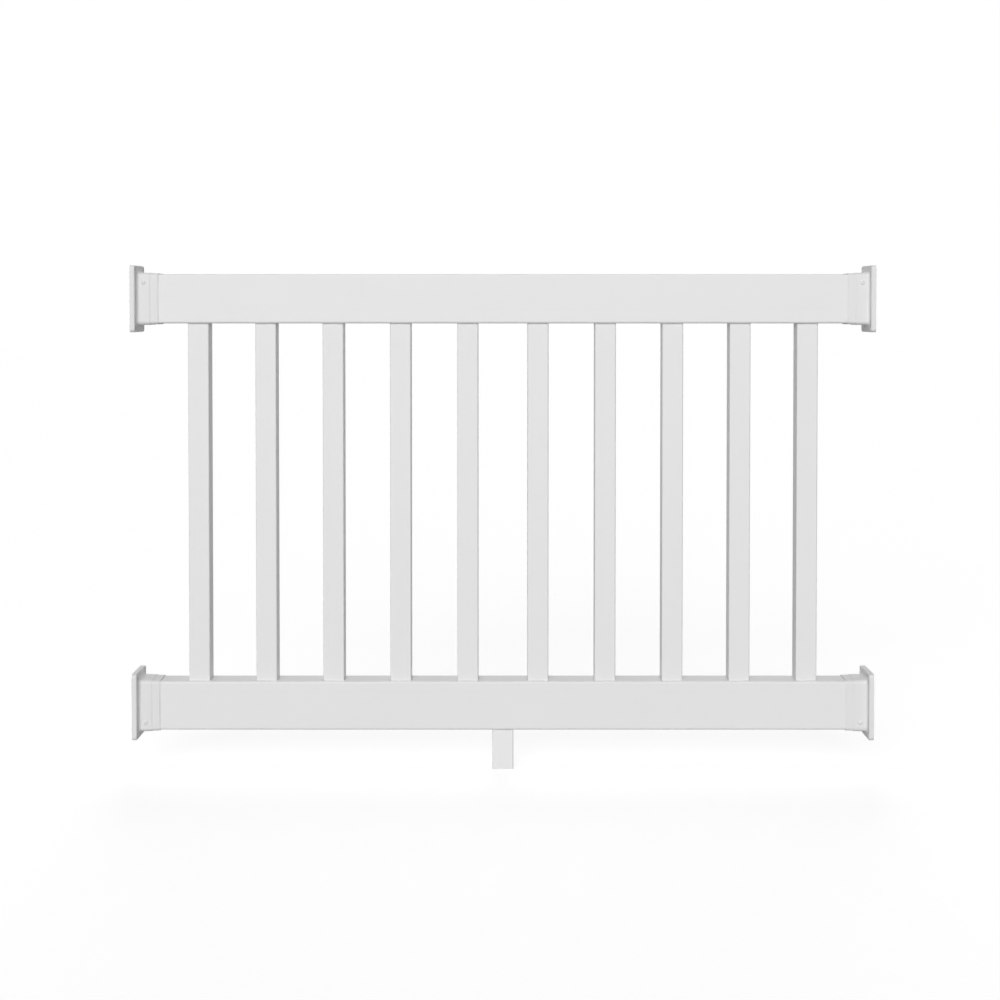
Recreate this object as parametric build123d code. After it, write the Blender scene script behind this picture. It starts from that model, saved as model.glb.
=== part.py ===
from build123d import *
from math import radians, tan
import os

# Vinyl railing section that hangs between two posts: two hollow rails, hollow square
# balusters through routed holes, four moulded brackets and a foot block under the middle.
# Sizes are in millimetres. The origin is the middle of the lower left bracket's post face,
# with +X along the section, +Y towards the back and +Z up.

# The opening that the section fills
section_length = 1342.0     # from one post face to the other
clear_height = 650.0        # from the bottom rail's top face to the top rail's underside
foot_height = 73.5          # from the deck to the bottom rail's underside

# Square balusters
baluster_count = 10
baluster_side = 38.1
baluster_wall = 1.8
baluster_corner = 2.5
middle_extra = 5.5          # the middle bay is this much wider than the others
end_trim = 2.75             # each end bay is this much narrower than a full pitch

# Rail extrusion, the same for both rails
rail_shoulder = 6.35        # rail face beyond each side of a baluster
rail_height = 88.9
rail_wall = 2.3
rail_corner = 4.0
inner_corner = 1.2          # inside corners of the rail's two chambers
web_thickness = 2.0
seat_depth = 22.0           # from the routed face to the web that a baluster ends at

# Fits
hole_clearance = 0.3        # baluster to routed hole, on each side
top_play = 3.0              # baluster's upper end to the top rail's web
rail_clearance = 0.4        # rail to bracket pocket, on each side
rail_end_gap = 2.0          # rail's cut end to the pocket's floor
plug_clearance = 0.3        # foot plug to the foot block's inside, on each side

# Moulded bracket
flange_thickness = 9.0
flange_overhang = 12.6      # flange beyond the collar, all round
flange_corner = 6.0
flange_edge = 1.2           # bevel round the flange's front edge
collar_wall = 2.8           # at the flange, before the draft thins it
collar_length = 25.0
collar_draft = 1.5          # degrees that the mould's faces lean in
collar_edge = 0.5           # bevel at the collar's step
lip_wall = 1.5              # where it leaves the collar
lip_length = 14.0
lip_draft = 1.5
crease_fillet = 4.8         # between flange and collar
skin_thickness = 4.0        # flange's front skin over the cored back
back_rim = 4.0
back_rib = 3.0
back_rib_pitch = 36.0

# Holes in the bracket
post_screw_inset = 7.4      # from the flange's edges, both ways
post_screw_radius = 2.5
post_screw_head_radius = 4.6
post_screw_boss = 12.0      # square pad left round each post screw
lock_screw_radius = 2.1
lock_screw_head_radius = 4.2
lock_screw_height = 30.0    # from the rail's centre line

# Foot plug, a moulded cup under the bottom rail that the foot block fits over
plug_height = 18.0
plug_wall = 2.0
plug_floor = 3.0
plug_corner = 1.5
plug_screw_radius = 2.25

# Sizes that follow from those above
rail_depth = baluster_side + 2 * rail_shoulder
top_rail_z = clear_height + rail_height
rail_start = flange_thickness + rail_end_gap
rail_end = section_length - rail_start
pocket_depth = rail_depth + 2 * rail_clearance
pocket_height = rail_height + 2 * rail_clearance
collar_depth = pocket_depth + 2 * collar_wall
collar_height = pocket_height + 2 * collar_wall
flange_depth = collar_depth + 2 * flange_overhang
flange_height = collar_height + 2 * flange_overhang
post_screw_y = flange_depth / 2 - post_screw_inset
post_screw_z = flange_height / 2 - post_screw_inset
baluster_bottom = rail_height / 2 - seat_depth
baluster_top = top_rail_z - baluster_bottom - top_play


def baluster_x(number):
    """Place of one baluster's centre, counted from 1 at the left."""
    pitch = (section_length + 2 * end_trim - middle_extra) / (baluster_count + 1)
    past_middle = number > baluster_count // 2
    return number * pitch - end_trim + (middle_extra if past_middle else 0)


def square_tube(side, wall, corner, bottom, top):
    """Upright hollow square tube between two heights, on the Z axis."""
    outline = RectangleRounded(side, side, corner)
    bore = Rectangle(side - 2 * wall, side - 2 * wall)
    return extrude(Pos(0, 0, bottom) * (outline - bore), top - bottom)


def rail_profile():
    """Rail section, drawn with its routed face upwards: two chambers with a web between."""
    inside = rail_depth - 2 * rail_wall
    near_height = seat_depth - rail_wall
    far_height = rail_height - 2 * rail_wall - near_height - web_thickness
    near = RectangleRounded(inside, near_height, inner_corner)
    far = RectangleRounded(inside, far_height, inner_corner)
    near_z = rail_height / 2 - rail_wall - near_height / 2
    far_z = far_height / 2 + rail_wall - rail_height / 2
    outline = RectangleRounded(rail_depth, rail_height, rail_corner)
    return outline - Pos(0, near_z) * near - Pos(0, far_z) * far


def routed_rail():
    """Rail with a square hole for each baluster through its upper face."""
    rail = extrude(Plane.YZ.offset(rail_start) * rail_profile(), rail_end - rail_start)
    hole_side = baluster_side + 2 * hole_clearance
    hole = RectangleRounded(hole_side, hole_side, baluster_corner + hole_clearance)
    for number in range(1, baluster_count + 1):
        place = Pos(baluster_x(number), 0, rail_height / 2)
        rail -= extrude(place * hole, 2 * rail_wall, both=True)
    return rail


def countersunk_hole(radius, head_radius, length):
    """Hole along -Z from a face at Z = 0, with a cone for the screw's head."""
    cone_depth = head_radius - radius
    shank = Pos(0, 0, -length / 2) * Cylinder(radius, length)
    cone = Pos(0, 0, -cone_depth / 2) * Cone(radius, head_radius, cone_depth)
    return shank + cone


def flange_core():
    """Recesses in the flange's back, between its rim, its ribs and the screw pads."""
    core = Rectangle(flange_depth - 2 * back_rim, flange_height - 2 * back_rim)
    core -= Rectangle(back_rib, flange_height)
    for row in (-1, 0, 1):
        core -= Pos(0, row * back_rib_pitch) * Rectangle(flange_depth, back_rib)
    for y in (-post_screw_y, post_screw_y):
        for z in (-post_screw_z, post_screw_z):
            core -= Pos(y, z) * Rectangle(post_screw_boss, post_screw_boss)
    return extrude(Plane.YZ * core, flange_thickness - skin_thickness)


def sleeve(start, length, wall, draft):
    """Solid block round the rail from one distance to another, leaning in by its draft."""
    corner = rail_corner + rail_clearance + wall
    outline = RectangleRounded(pocket_depth + 2 * wall, pocket_height + 2 * wall, corner)
    return extrude(Plane.YZ.offset(start) * outline, length, taper=draft)


def moulded_bracket():
    """One-piece bracket at the left post: flange, collar and a lip that thins towards its tip."""
    collar_end = flange_thickness + collar_length
    flange_outline = RectangleRounded(flange_depth, flange_height, flange_corner)
    flange = extrude(Plane.YZ * flange_outline, flange_thickness)
    flange = chamfer(flange.edges().group_by(Axis.X)[-1], flange_edge)
    collar = sleeve(flange_thickness, collar_length, collar_wall, collar_draft)
    collar = chamfer(collar.edges().group_by(Axis.X)[-1], collar_edge)
    body = flange + collar + sleeve(collar_end, lip_length, lip_wall, lip_draft)
    body = fillet(body.edges().filter_by(is_crease), crease_fillet)
    pocket_outline = RectangleRounded(pocket_depth, pocket_height, rail_corner + rail_clearance)
    pocket_start = Plane.YZ.offset(flange_thickness)
    body -= extrude(pocket_start * pocket_outline, collar_length + lip_length)
    body -= flange_core()
    post_hole = countersunk_hole(post_screw_radius, post_screw_head_radius, flange_thickness)
    for y in (-post_screw_y, post_screw_y):
        for z in (-post_screw_z, post_screw_z):
            body -= Pos(flange_thickness, y, z) * Rot(0, 90, 0) * post_hole
    lock_hole = countersunk_hole(lock_screw_radius, lock_screw_head_radius, 2 * collar_wall)
    lock_x = flange_thickness + collar_length / 2
    lock_y = collar_depth / 2 - collar_length / 2 * tan(radians(collar_draft))
    for face in (-1, 1):
        place = Pos(lock_x, face * lock_y, lock_screw_height)
        body -= place * Rot(-90 * face, 0, 0) * Rot(0, collar_draft, 0) * lock_hole
    return body


def is_crease(edge):
    """True for an edge where the collar's outside meets the flange's front face."""
    box = edge.bounding_box()
    near = 0.01
    in_plane = box.min.X > flange_thickness - near and box.max.X < flange_thickness + near
    on_collar = max(-box.min.Y, box.max.Y) < collar_depth / 2 + near
    return in_plane and on_collar


def foot_plug():
    """Moulded cup, open downwards, screwed to the bottom rail's underside."""
    side = baluster_side - 2 * baluster_wall - 2 * plug_clearance
    top = -rail_height / 2
    inside = side - 2 * plug_wall
    cup = extrude(Pos(0, 0, top - plug_height) * RectangleRounded(side, side, plug_corner), plug_height)
    hollow = Pos(0, 0, top - plug_height) * Rectangle(inside, inside)
    cup -= extrude(hollow, plug_height - plug_floor)
    cup -= Pos(0, 0, top - plug_floor / 2) * Cylinder(plug_screw_radius, plug_floor)
    return cup


os.makedirs("parts", exist_ok=True)


def write(name, solid):
    """Write one piece under its own name."""
    export_step(solid, f"parts/{name}.step")


rail = routed_rail()
write("bottom_rail", rail)
write("top_rail", Pos(0, 0, top_rail_z) * mirror(rail, Plane.XY))

baluster = square_tube(baluster_side, baluster_wall, baluster_corner, baluster_bottom, baluster_top)
for number in range(1, baluster_count + 1):
    write(f"baluster_{number:02d}", Pos(baluster_x(number), 0, 0) * baluster)

bracket = moulded_bracket()
write("bracket_left_top", Pos(0, 0, top_rail_z) * bracket)
write("bracket_right_top", Pos(section_length, 0, top_rail_z) * Rot(0, 0, 180) * bracket)
write("bracket_left_bottom", Rot(180, 0, 0) * bracket)
write("bracket_right_bottom", Pos(section_length, 0, 0) * Rot(0, 180, 0) * bracket)

rail_underside = -rail_height / 2
foot = square_tube(
    baluster_side, baluster_wall, baluster_corner, rail_underside - foot_height, rail_underside
)
middle = Pos(section_length / 2, 0, 0)
write("foot_block", middle * foot)
write("foot_plug", middle * foot_plug())
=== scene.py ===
from math import atan2, cos, pi, radians, sin
import bmesh
import bpy
from mathutils import Matrix, Vector


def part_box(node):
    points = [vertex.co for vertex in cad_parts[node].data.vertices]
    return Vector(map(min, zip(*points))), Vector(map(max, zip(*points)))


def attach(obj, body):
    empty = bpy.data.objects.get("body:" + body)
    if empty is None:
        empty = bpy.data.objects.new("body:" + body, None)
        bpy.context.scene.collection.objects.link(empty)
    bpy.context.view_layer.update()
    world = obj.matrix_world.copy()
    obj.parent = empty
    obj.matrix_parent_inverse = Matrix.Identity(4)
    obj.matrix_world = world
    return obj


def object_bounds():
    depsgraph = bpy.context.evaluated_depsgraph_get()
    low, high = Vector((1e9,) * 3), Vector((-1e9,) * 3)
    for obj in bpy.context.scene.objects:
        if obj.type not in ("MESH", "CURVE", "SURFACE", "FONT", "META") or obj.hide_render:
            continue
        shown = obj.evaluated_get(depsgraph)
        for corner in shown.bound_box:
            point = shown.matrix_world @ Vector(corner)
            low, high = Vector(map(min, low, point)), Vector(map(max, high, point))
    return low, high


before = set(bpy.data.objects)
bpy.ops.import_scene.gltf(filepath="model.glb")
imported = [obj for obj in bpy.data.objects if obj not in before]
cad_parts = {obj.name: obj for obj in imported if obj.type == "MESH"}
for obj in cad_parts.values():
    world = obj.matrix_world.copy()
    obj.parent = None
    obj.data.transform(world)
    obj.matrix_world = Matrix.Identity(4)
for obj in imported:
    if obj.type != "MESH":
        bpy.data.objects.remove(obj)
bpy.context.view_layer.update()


# Rails. Each is a hollow white vinyl extrusion with a satin skin, pushed through its die along
# X, which leaves faint lines along it. The cooling wall draws in by a few hundredths of a
# millimetre over the inner web, and the holes for the balusters are routed afterwards.
MM = 0.001
rail_white = (0.790, 0.792, 0.790)
rail_roughness = 0.46
rail_rubs = 0.5
along_x = (0.015, 1.0, 1.0)     # squeezes a pattern, so that it runs along X
vinyl_ior = 1.53
vinyl_shine = 0.30
die_line_depth = 0.04 * MM
wide_line_scale = 60.0
wide_line_weight = 2.0          # height of the wide lines, in fine ones
skin_wave_depth = 1.2 * MM
skin_wave_strength = 0.5
rub_start = 0.56                # level of the noise where a rub begins
rub_full = 0.74                 # and where it is as strong as it gets
rub_dulling = 0.10
rub_darkening = 0.025
web_depth = 23.0 * MM           # from a rail's routed face to the middle of its web
sink_width = 2.6 * MM           # from its middle to half its depth
sink_depth = 0.07 * MM


def new_group(name, inputs, outputs):
    """Empty shader node group with named inputs and outputs."""
    group = bpy.data.node_groups.new(name, "ShaderNodeTree")
    for label, kind, value in inputs:
        socket = group.interface.new_socket(label, in_out="INPUT", socket_type="NodeSocket" + kind)
        socket.default_value = value
    for label, kind in outputs:
        group.interface.new_socket(label, in_out="OUTPUT", socket_type="NodeSocket" + kind)
    source = group.nodes.new("NodeGroupInput")
    result = group.nodes.new("NodeGroupOutput")
    return group, source.outputs, result.inputs


def feed(tree, socket, value):
    """Link a socket to another one, or set it to a plain value."""
    if hasattr(value, "links"):
        tree.links.new(value, socket)
    else:
        socket.default_value = value


def noise(tree, vector, scale, detail=2.0, rough=0.5):
    """Noise texture on a vector, as a value round 0.5."""
    node = tree.nodes.new("ShaderNodeTexNoise")
    node.inputs["Detail"].default_value = detail
    node.inputs["Roughness"].default_value = rough
    feed(tree, node.inputs["Scale"], scale)
    feed(tree, node.inputs["Vector"], vector)
    return node.outputs["Fac"]


def maths(tree, operation, *values):
    """One Math node. Each of its values is a socket or a plain number."""
    node = tree.nodes.new("ShaderNodeMath")
    node.operation = operation
    for place, value in enumerate(values):
        feed(tree, node.inputs[place], value)
    return node.outputs[0]


def shaded(tree, colour, factor):
    """Colour made lighter or darker by a factor."""
    node = tree.nodes.new("ShaderNodeVectorMath")
    node.operation = "SCALE"
    tree.links.new(colour, node.inputs[0])
    tree.links.new(factor, node.inputs["Scale"])
    return node.outputs[0]


def make_cloud_group():
    """Slow unevenness of a skin: a tint that drifts by a few parts in a hundred."""
    group, given, out = new_group(
        "vinyl_cloud",
        [("Vector", "Vector", (0, 0, 0)), ("Colour", "Color", (0.8, 0.8, 0.8, 1)),
         ("Amount", "Float", 0.03), ("Scale", "Float", 6.0)],
        [("Colour", "Color"), ("Cloud", "Float")],
    )
    cloud = noise(group, given["Vector"], given["Scale"], detail=3.0, rough=0.55)
    swing = maths(group, "SUBTRACT", cloud, 0.5)
    factor = maths(group, "MULTIPLY_ADD", swing, given["Amount"], 1.0)
    group.links.new(shaded(group, given["Colour"], factor), out["Colour"])
    group.links.new(cloud, out["Cloud"])
    return group


def make_die_line_group():
    """Lines that a die draws along an extrusion. The vector comes in squeezed along its length."""
    group, given, out = new_group(
        "die_lines",
        [("Vector", "Vector", (0, 0, 0)), ("Pitch", "Float", 900.0), ("Roughness", "Float", 0.36),
         ("Spread", "Float", 0.08)],
        [("Height", "Float"), ("Roughness", "Float")],
    )
    fine = noise(group, given["Vector"], given["Pitch"], detail=3.0, rough=0.6)
    wide = noise(group, given["Vector"], wide_line_scale, detail=1.0)
    height = maths(group, "MULTIPLY_ADD", wide, wide_line_weight, fine)
    swing = maths(group, "SUBTRACT", fine, 0.5)
    rough = maths(group, "MULTIPLY_ADD", swing, given["Spread"], given["Roughness"])
    group.links.new(height, out["Height"])
    group.links.new(rough, out["Roughness"])
    return group


def make_rub_group():
    """Faint rubs from handling: small patches a shade darker and duller than the skin."""
    group, given, out = new_group(
        "handling_rubs",
        [("Vector", "Vector", (0, 0, 0)), ("Colour", "Color", (0.8, 0.8, 0.8, 1)),
         ("Roughness", "Float", 0.4), ("Amount", "Float", 0.5), ("Scale", "Float", 22.0)],
        [("Colour", "Color"), ("Roughness", "Float")],
    )
    patches = noise(group, given["Vector"], given["Scale"], detail=6.0, rough=0.7)
    spread = group.nodes.new("ShaderNodeMapRange")
    spread.interpolation_type = "SMOOTHSTEP"
    spread.inputs["From Min"].default_value = rub_start
    spread.inputs["From Max"].default_value = rub_full
    group.links.new(patches, spread.inputs["Value"])
    mask = maths(group, "MULTIPLY", spread.outputs["Result"], given["Amount"])
    duller = maths(group, "MULTIPLY_ADD", mask, rub_dulling, given["Roughness"])
    darker = maths(group, "MULTIPLY_ADD", mask, -rub_darkening, 1.0)
    group.links.new(shaded(group, given["Colour"], darker), out["Colour"])
    group.links.new(duller, out["Roughness"])
    return group


def new_material(name):
    """Material with its node tree and its shader."""
    material = bpy.data.materials.new(name)
    material.use_nodes = True
    tree = material.node_tree
    return material, tree, tree.nodes["Principled BSDF"]


def object_vector(tree, stretch=(1, 1, 1)):
    """Object coordinates through a Mapping node, squeezed along an axis."""
    where = tree.nodes.new("ShaderNodeTexCoord")
    mapping = tree.nodes.new("ShaderNodeMapping")
    mapping.inputs["Scale"].default_value = stretch
    tree.links.new(where.outputs["Object"], mapping.inputs["Vector"])
    return mapping.outputs["Vector"]


def place_group(tree, group, vector, **values):
    """Put a node group in a material. Each value is a socket to link or a number to set."""
    node = tree.nodes.new("ShaderNodeGroup")
    node.node_tree = group
    tree.links.new(vector, node.inputs["Vector"])
    for label, value in values.items():
        feed(tree, node.inputs[label], value)
    return node.outputs


def add_bump(tree, height, distance, strength=1.0, under=None):
    """Bump node on a height in units of the given distance, in metres."""
    bump = tree.nodes.new("ShaderNodeBump")
    bump.inputs["Strength"].default_value = strength
    bump.inputs["Distance"].default_value = distance
    tree.links.new(height, bump.inputs["Height"])
    if under is not None:
        tree.links.new(under, bump.inputs["Normal"])
    return bump.outputs["Normal"]


def extruded_vinyl(name, colour, roughness, stretch, rubs):
    """Satin white vinyl with die lines along one axis. Gives the material and its normal."""
    material, tree, shader = new_material(name)
    plain = object_vector(tree)
    cloud = place_group(tree, cloud_group, plain, Colour=(*colour, 1), Amount=0.03, Scale=5.0)
    lines = place_group(
        tree, die_line_group, object_vector(tree, stretch),
        Pitch=650.0, Roughness=roughness, Spread=0.16,
    )
    rubbed = place_group(
        tree, rub_group, plain,
        Colour=cloud["Colour"], Roughness=lines["Roughness"], Amount=rubs, Scale=22.0,
    )
    tree.links.new(rubbed["Colour"], shader.inputs["Base Color"])
    tree.links.new(rubbed["Roughness"], shader.inputs["Roughness"])
    line_normal = add_bump(tree, lines["Height"], die_line_depth)
    normal = add_bump(tree, cloud["Cloud"], skin_wave_depth, skin_wave_strength, line_normal)
    tree.links.new(normal, shader.inputs["Normal"])
    shader.inputs["IOR"].default_value = vinyl_ior
    shader.inputs["Specular IOR Level"].default_value = vinyl_shine
    return material, normal


def add_web_sink(material, under):
    """Shallow dip along the faces of both rails, at the height of the web inside each."""
    lower_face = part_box("bottom_rail")[1][2]
    upper_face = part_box("top_rail")[0][2]
    middle_height = (lower_face + upper_face) / 2
    web_from_middle = (upper_face - lower_face) / 2 + web_depth
    tree = material.node_tree
    parts = tree.nodes.new("ShaderNodeSeparateXYZ")
    tree.links.new(object_vector(tree), parts.inputs["Vector"])
    from_middle = maths(tree, "SUBTRACT", parts.outputs["Z"], middle_height)
    from_web = maths(tree, "SUBTRACT", maths(tree, "ABSOLUTE", from_middle), web_from_middle)
    steps = maths(tree, "DIVIDE", from_web, sink_width)
    squared = maths(tree, "MULTIPLY_ADD", steps, steps, 1.0)
    dip = maths(tree, "DIVIDE", -1.0, squared)
    normal = add_bump(tree, dip, sink_depth, under=under)
    tree.links.new(normal, tree.nodes["Principled BSDF"].inputs["Normal"])


def give(node, material):
    """Give a carried-over piece its material in every slot."""
    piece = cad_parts[node]
    for slot in piece.material_slots:
        slot.material = material


cloud_group = make_cloud_group()
die_line_group = make_die_line_group()
rub_group = make_rub_group()
rail_vinyl, rail_normal = extruded_vinyl("rail_vinyl", rail_white, rail_roughness, along_x, rail_rubs)
add_web_sink(rail_vinyl, rail_normal)
for node in ("top_rail", "bottom_rail"):
    give(node, rail_vinyl)


# Balusters. Ten square vinyl tubes stand in the routed holes, on the web inside the bottom rail.
# They are the same extruded vinyl as the rails, with the die lines running up them along Z.
baluster_white = (0.790, 0.792, 0.790)
baluster_roughness = 0.46
baluster_rubs = 0.35
along_z = (1.0, 1.0, 0.015)     # squeezes a pattern, so that it runs along Z
baluster_vinyl, _ = extruded_vinyl(
    "baluster_vinyl", baluster_white, baluster_roughness, along_z, baluster_rubs
)
for node in sorted(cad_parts):
    if node.startswith("baluster_"):
        give(node, baluster_vinyl)


# Foot block. A short cut of square vinyl tube that stands on the deck under the middle of the
# bottom rail and stops it from sagging. It is a shade lighter than the balusters.
foot_white = (0.835, 0.837, 0.835)
foot_roughness = 0.46
foot_rubs = 0.6
foot_vinyl, _ = extruded_vinyl("foot_vinyl", foot_white, foot_roughness, along_z, foot_rubs)
give("foot_block", foot_vinyl)


# Brackets. Each is one injection moulding: a flange that is screwed to the post, a collar round
# the rail's end and a thin lip. The mould gives it a finer, slightly duller skin than the
# extrusions have.
bracket_white = (0.755, 0.757, 0.755)
bracket_roughness = 0.48
bracket_rubs = 0.4
flow_mark_scale = 45.0
grain_depth = 0.06 * MM


def make_grain_group():
    """Fine even grain of a mould or a coat, with slow flow marks in its gloss."""
    group, given, out = new_group(
        "mould_grain",
        [("Vector", "Vector", (0, 0, 0)), ("Grain", "Float", 2600.0), ("Roughness", "Float", 0.42),
         ("Spread", "Float", 0.08)],
        [("Height", "Float"), ("Roughness", "Float")],
    )
    grain = noise(group, given["Vector"], given["Grain"])
    flow = noise(group, given["Vector"], flow_mark_scale, detail=1.0)
    swing = maths(group, "SUBTRACT", flow, 0.5)
    rough = maths(group, "MULTIPLY_ADD", swing, given["Spread"], given["Roughness"])
    group.links.new(grain, out["Height"])
    group.links.new(rough, out["Roughness"])
    return group


def moulded_vinyl(name, colour, roughness, rubs):
    """White vinyl moulding with a fine grain."""
    material, tree, shader = new_material(name)
    plain = object_vector(tree)
    cloud = place_group(tree, cloud_group, plain, Colour=(*colour, 1), Amount=0.025, Scale=14.0)
    grain = place_group(tree, grain_group, plain, Grain=1700.0, Roughness=roughness, Spread=0.08)
    rubbed = place_group(
        tree, rub_group, plain,
        Colour=cloud["Colour"], Roughness=grain["Roughness"], Amount=rubs, Scale=40.0,
    )
    tree.links.new(rubbed["Colour"], shader.inputs["Base Color"])
    tree.links.new(rubbed["Roughness"], shader.inputs["Roughness"])
    tree.links.new(add_bump(tree, grain["Height"], grain_depth), shader.inputs["Normal"])
    shader.inputs["IOR"].default_value = vinyl_ior
    shader.inputs["Specular IOR Level"].default_value = vinyl_shine
    return material


grain_group = make_grain_group()
bracket_vinyl = moulded_vinyl("bracket_vinyl", bracket_white, bracket_roughness, bracket_rubs)
for node in sorted(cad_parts):
    if node.startswith("bracket_"):
        give(node, bracket_vinyl)


# Locking screws. A white-coated steel screw with a raised countersunk head and a cross recess
# goes through the front and the back of each collar into the rail. The heads are struck cold,
# painted to match the vinyl, and sit a little proud of their countersinks.
lock_head_radius = 4.5 * MM
lock_head_rim = 0.35 * MM       # from the collar's face up to the head's widest ring
lock_head_crown = 1.5 * MM      # from that ring up to the recess
lock_recess_arm = 2.3 * MM
lock_recess_depth = 1.9 * MM
lock_shank_radius = 2.0 * MM
lock_length = 19.0 * MM
lock_from_post = 21.5 * MM
lock_from_centre = 30.0 * MM    # from the rail's centre line, away from the balusters
lock_face = 28.27 * MM          # from the section's middle plane to the collar's face
lock_lean = radians(1.5)        # the collar's draft
lock_turns = (14.0, 63.0, 38.0, 81.0, 27.0, 52.0, 5.0, 70.0)
coat_white = (0.80, 0.80, 0.79)
coat_roughness = 0.30
coat_depth = 0.04 * MM
screw_point = 2.0 * MM
ring_steps = 40
arm_angle = radians(9.0)        # half of the ring's arc that becomes the end of one arm
cross_width = 0.24              # half of an arm's width, as a share of its reach
cross_taper = 0.62              # size of the recess at its base, as a share of its mouth
weld_distance = 1e-7
smooth_limit = radians(32.0)
sort_line = Vector((1.0, 0.37, 13.1))    # a mesh is sorted along it, as spin keeps no order


def cross_outline(point, arm, half_width):
    """Place of one point of a round ring when the ring is pressed into a cross."""
    turn = atan2(point.y, point.x)
    quarter = round(turn / (pi / 2)) * pi / 2
    local = turn - quarter
    share = min(1.0, max(0.0, (abs(local) - arm_angle) / (pi / 4 - arm_angle)))
    along = arm + (half_width - arm) * share
    across = half_width * min(1.0, abs(local) / arm_angle) * (1 if local >= 0 else -1)
    return (
        along * cos(quarter) - across * sin(quarter),
        along * sin(quarter) + across * cos(quarter),
    )


def screw_mesh(name, outline, recess_arm, recess_depth):
    """Screw on the Z axis: its outline spun round, with a tapering cross sunk in its crown."""
    shape = bmesh.new()
    verts = [shape.verts.new((radius, 0.0, height)) for radius, height in outline]
    edges = [shape.edges.new(pair) for pair in zip(verts, verts[1:])]
    bmesh.ops.spin(
        shape, geom=verts + edges, cent=(0, 0, 0), axis=(0, 0, 1), dvec=(0, 0, 0),
        angle=2 * pi, steps=ring_steps, use_merge=True,
    )
    bmesh.ops.remove_doubles(shape, verts=shape.verts, dist=weld_distance)
    rim = [edge for edge in shape.edges if edge.is_boundary]
    for vert in {vert for edge in rim for vert in edge.verts}:
        vert.co.x, vert.co.y = cross_outline(vert.co, recess_arm, recess_arm * cross_width)
    walls = bmesh.ops.extrude_edge_only(shape, edges=rim)["geom"]
    base_verts = [item for item in walls if isinstance(item, bmesh.types.BMVert)]
    base_edges = [item for item in walls if isinstance(item, bmesh.types.BMEdge) and item.is_boundary]
    bmesh.ops.scale(shape, vec=(cross_taper, cross_taper, 1.0), verts=base_verts)
    bmesh.ops.translate(shape, vec=(0, 0, -recess_depth), verts=base_verts)
    bmesh.ops.edgeloop_fill(shape, edges=base_edges)
    bmesh.ops.recalc_face_normals(shape, faces=shape.faces)
    shape.verts.sort(key=lambda vert: vert.co.dot(sort_line))
    shape.faces.sort(key=lambda face: face.calc_center_median().dot(sort_line))
    mesh = bpy.data.meshes.new(name)
    shape.to_mesh(mesh)
    shape.free()
    return mesh


def coated_steel(name, colour, roughness):
    """White paint over steel, smooth, with a faint mottle of the coat."""
    material, tree, shader = new_material(name)
    plain = object_vector(tree)
    cloud = place_group(tree, cloud_group, plain, Colour=(*colour, 1), Amount=0.06, Scale=260.0)
    grain = place_group(tree, grain_group, plain, Grain=1500.0, Roughness=roughness, Spread=0.10)
    tree.links.new(cloud["Colour"], shader.inputs["Base Color"])
    tree.links.new(grain["Roughness"], shader.inputs["Roughness"])
    tree.links.new(add_bump(tree, grain["Height"], coat_depth), shader.inputs["Normal"])
    return material


def object_from(name, shape, material):
    """Object at the origin with a bmesh's faces and one material. The bmesh is freed."""
    mesh = bpy.data.meshes.new(name)
    shape.to_mesh(mesh)
    shape.free()
    mesh.materials.append(material)
    made = bpy.data.objects.new(name, mesh)
    bpy.context.scene.collection.objects.link(made)
    return made


def screws(name, screw, places, material):
    """One piece made of a screw's mesh, copied to each of its places."""
    shape = bmesh.new()
    for place in places:
        copy = screw.copy()
        copy.transform(place)
        shape.from_mesh(copy)
        bpy.data.meshes.remove(copy)
    for face in shape.faces:
        face.smooth = True
    piece = object_from(name, shape, material)
    piece.data.set_sharp_from_angle(angle=smooth_limit)
    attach(piece, "root")


lock_crown = (
    (lock_recess_arm, 1.0),
    (0.68 * lock_head_radius, 0.82),
    (0.84 * lock_head_radius, 0.55),
    (0.95 * lock_head_radius, 0.24),
    (lock_head_radius, 0.0),
)
lock_outline = [(radius, lock_head_rim + share * lock_head_crown) for radius, share in lock_crown]
lock_outline += [
    (lock_shank_radius, lock_head_rim + lock_shank_radius - lock_head_radius),
    (lock_shank_radius, screw_point - lock_length),
    (0.0, -lock_length),
]
screw_coat = coated_steel("screw_coat", coat_white, coat_roughness)
lock_screw = screw_mesh("lock_screw", lock_outline, lock_recess_arm, lock_recess_depth)
turns = iter(lock_turns)
for node in sorted(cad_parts):
    if not node.startswith("bracket_"):
        continue
    low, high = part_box(node)
    level = 1 if "top" in node else -1
    inward = 1 if "left" in node else -1
    post_x = low[0] if inward == 1 else high[0]
    screw_x = post_x + inward * lock_from_post
    screw_z = (low[2] + high[2]) / 2 + level * lock_from_centre
    places = []
    for face in (-1, 1):
        spot = Vector((screw_x, face * lock_face, screw_z))
        normal = Vector((inward * sin(lock_lean), face * cos(lock_lean), 0.0))
        aim = normal.to_track_quat("Z", "Y").to_matrix().to_4x4()
        turned = Matrix.Rotation(radians(next(turns)), 4, "Z")
        places.append(Matrix.Translation(spot) @ aim @ turned)
    screws(node.replace("bracket", "lock_screws"), lock_screw, places, screw_coat)


# Foot plug. A small moulded cup screwed up under the bottom rail, inside the foot block. One
# stainless pan-head screw holds it, with its head against the cup's floor.
plug_floor = 3.0 * MM
pan_radius = 4.0 * MM
pan_height = 2.4 * MM
pan_recess_arm = 1.9 * MM
pan_recess_depth = 1.6 * MM
pan_shank_radius = 2.1 * MM
pan_length = 12.0 * MM
steel_tone = (0.60, 0.59, 0.57)
steel_roughness = 0.30
turned_mark_depth = 0.01 * MM


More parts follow.
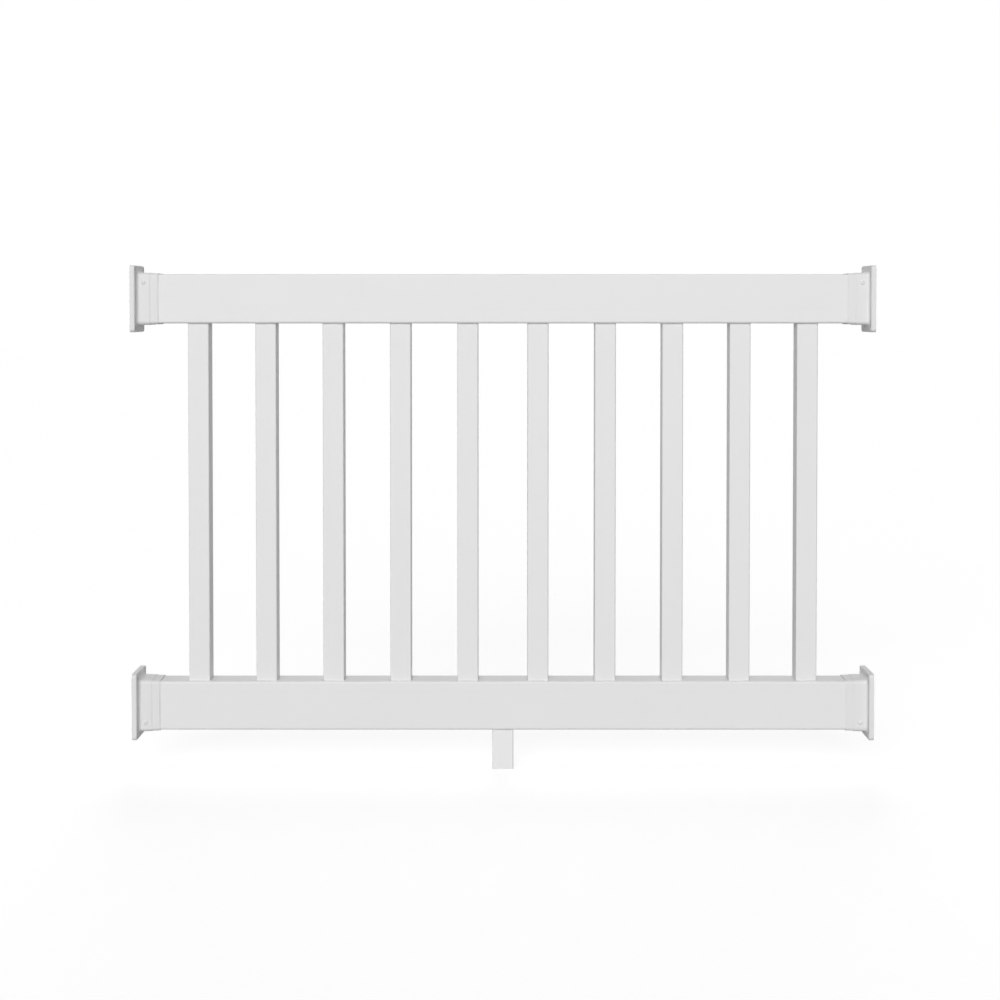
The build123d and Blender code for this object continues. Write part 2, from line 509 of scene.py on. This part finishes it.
def stainless_steel(name, colour, roughness):
    """Drawn stainless steel with fine turned marks."""
    material, tree, shader = new_material(name)
    plain = object_vector(tree)
    cloud = place_group(tree, cloud_group, plain, Colour=(*colour, 1), Amount=0.12, Scale=180.0)
    lines = place_group(tree, die_line_group, plain, Pitch=2200.0, Roughness=roughness, Spread=0.14)
    tree.links.new(cloud["Colour"], shader.inputs["Base Color"])
    tree.links.new(lines["Roughness"], shader.inputs["Roughness"])
    tree.links.new(add_bump(tree, lines["Height"], turned_mark_depth), shader.inputs["Normal"])
    shader.inputs["Metallic"].default_value = 1.0
    return material


give("foot_plug", bracket_vinyl)
pan_outline = (
    (pan_recess_arm, pan_height),
    (0.725 * pan_radius, 0.90 * pan_height),
    (0.90 * pan_radius, 0.66 * pan_height),
    (pan_radius, 0.30 * pan_height),
    (pan_radius, 0.0),
    (pan_shank_radius, 0.0),
    (pan_shank_radius, screw_point - pan_length),
    (0.0, -pan_length),
)
screw_steel = stainless_steel("screw_steel", steel_tone, steel_roughness)
plug_screw = screw_mesh("plug_screw", pan_outline, pan_recess_arm, pan_recess_depth)
plug_low, plug_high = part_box("foot_plug")
under_floor = Vector(((plug_low[0] + plug_high[0]) / 2, 0.0, plug_high[2] - plug_floor))
facing_down = Matrix.Translation(under_floor) @ Matrix.Rotation(pi, 4, "X")
screws("foot_plug_screw", plug_screw, [facing_down], screw_steel)


# Floor. A plain pale floor under the foot block. The camera sees it as white, apart from the
# section's soft shadow.
floor_size = 60.0
floor_tone = 0.38
floor_roughness = 0.9
floor_glow = 0.755


def seen_rays(tree):
    """1 for rays from the camera, from gloss and through glass, and 0 for the rest."""
    path = tree.nodes.new("ShaderNodeLightPath")
    seen = maths(tree, "MAXIMUM", path.outputs["Is Camera Ray"], path.outputs["Is Transmission Ray"])
    return maths(tree, "MAXIMUM", seen, path.outputs["Is Glossy Ray"])


def pale_stage(name, tone, roughness, glow_level):
    """Matt floor with a glow that only the eye sees, so that only a shadow shows on white."""
    material, tree, shader = new_material(name)
    shader.inputs["Base Color"].default_value = (tone, tone, tone, 1)
    shader.inputs["Roughness"].default_value = roughness
    shader.inputs["Specular IOR Level"].default_value = 0.0
    glow = tree.nodes.new("ShaderNodeEmission")
    tree.links.new(maths(tree, "MULTIPLY", seen_rays(tree), glow_level), glow.inputs["Strength"])
    both = tree.nodes.new("ShaderNodeAddShader")
    tree.links.new(shader.outputs[0], both.inputs[0])
    tree.links.new(glow.outputs[0], both.inputs[1])
    tree.links.new(both.outputs[0], tree.nodes["Material Output"].inputs["Surface"])
    return material


low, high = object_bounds()
deck_middle = Vector(((low[0] + high[0]) / 2, 0.0, low[2]))
floor_shape = bmesh.new()
bmesh.ops.create_grid(floor_shape, x_segments=1, y_segments=1, size=floor_size / 2)
bmesh.ops.translate(floor_shape, vec=deck_middle, verts=floor_shape.verts)
floor_pale = pale_stage("stage_pale", floor_tone, floor_roughness, floor_glow)
object_from("floor", floor_shape, floor_pale)


# Light. One broad soft source, as of a large window in front and a little above, a weaker one
# low behind that lights the back, and an even surround.
key_height = 18.0               # degrees, as each height, turn and width here
key_turn = -9.0
key_width = 44.0
key_strength = 2.40
fill_height = 22.0
fill_turn = 178.0
fill_width = 30.0
fill_strength = 1.50
surround_level = 0.22


def soft_sun(name, height, turn, width, strength, in_gloss):
    """Distant light of some width, turned from straight in front and above the horizon."""
    sun = bpy.data.lights.new(name, "SUN")
    sun.energy = strength
    sun.angle = radians(width)
    light = bpy.data.objects.new(name, sun)
    light.rotation_euler = (radians(90.0 - height), 0.0, radians(turn))
    light.visible_glossy = in_gloss
    bpy.context.scene.collection.objects.link(light)


def surround(level):
    """World that lights evenly and looks white to the camera and in gloss."""
    world = bpy.data.worlds.new("surround")
    bpy.context.scene.world = world
    world.use_nodes = True
    tree = world.node_tree
    back = tree.nodes["Background"]
    strength = maths(tree, "MULTIPLY_ADD", seen_rays(tree), 1.0 - level, level)
    tree.links.new(strength, back.inputs["Strength"])
    back.inputs["Color"].default_value = (1, 1, 1, 1)


soft_sun("key", key_height, key_turn, key_width, key_strength, True)
soft_sun("fill", fill_height, fill_turn, fill_width, fill_strength, False)
surround(surround_level)


# Camera. It stands straight in front of the section, just under the top rail's height, and is
# tipped down by a degree. The lens is shifted so that the section sits as in the photograph.
camera_distance = 3.0
camera_height = 0.720
camera_x_offset = -0.0053
camera_tilt = 1.347
camera_focal = 59.26
camera_shift_y = -0.152
lens = bpy.data.cameras.new("camera")
lens.sensor_width = 36.0
lens.lens = camera_focal
lens.shift_y = camera_shift_y
camera = bpy.data.objects.new("camera", lens)
camera.location = (deck_middle.x + camera_x_offset, -camera_distance, camera_height)
camera.rotation_euler = (radians(90.0 - camera_tilt), 0.0, 0.0)
bpy.context.scene.collection.objects.link(camera)
bpy.context.scene.camera = camera
bpy.context.scene.view_settings.view_transform = "Standard"
